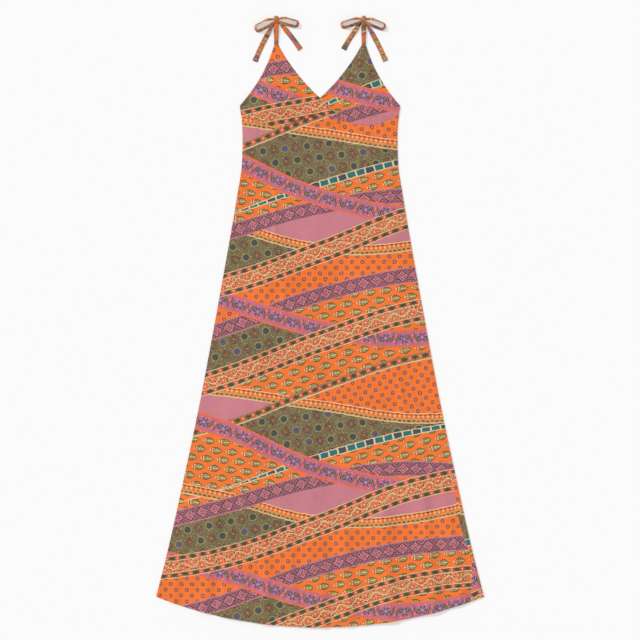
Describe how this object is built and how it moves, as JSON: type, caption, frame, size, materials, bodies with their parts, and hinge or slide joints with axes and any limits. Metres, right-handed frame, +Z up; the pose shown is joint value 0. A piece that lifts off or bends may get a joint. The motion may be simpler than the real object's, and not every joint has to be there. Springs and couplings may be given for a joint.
{
  "type": "maxi dress",
  "caption": "Sleeveless maxi dress laid flat, with a crossed V neck, bust cups, a flared skirt with a curved hem, and shoulder ties in bows.",
  "frame": {"origin": "on the surface that the dress lies on, half way along its length and on its middle line", "axes": "+Y runs from the hem to the shoulder ties, +X towards the viewer's right as the front faces up, +Z up out of the surface"},
  "size_m": [0.769, 1.435, 0.014],
  "materials": {
    "printed_cloth": "matt woven cloth with a patchwork print",
    "back_cloth": "matt woven cloth with a patchwork print, paler on its wrong side",
    "tie_cloth": "matt woven cloth in narrow pressed tubes"
  },
  "bodies": {
    "root": {"back_panel": "back_cloth", "front_skirt": "printed_cloth", "front_cup_right": "printed_cloth", "front_cup_left": "printed_cloth", "strap_back_left": "tie_cloth", "strap_front_left": "tie_cloth", "knot_left": "tie_cloth", "bow_loop_left_outer": "tie_cloth", "bow_tail_left_outer": "tie_cloth", "bow_loop_left_inner": "tie_cloth", "bow_tail_left_inner": "tie_cloth", "strap_back_right": "tie_cloth", "strap_front_right": "tie_cloth", "knot_right": "tie_cloth", "bow_loop_right_outer": "tie_cloth", "bow_tail_right_outer": "tie_cloth", "bow_loop_right_inner": "tie_cloth", "bow_tail_right_inner": "tie_cloth"}
  },
  "joints": []
}
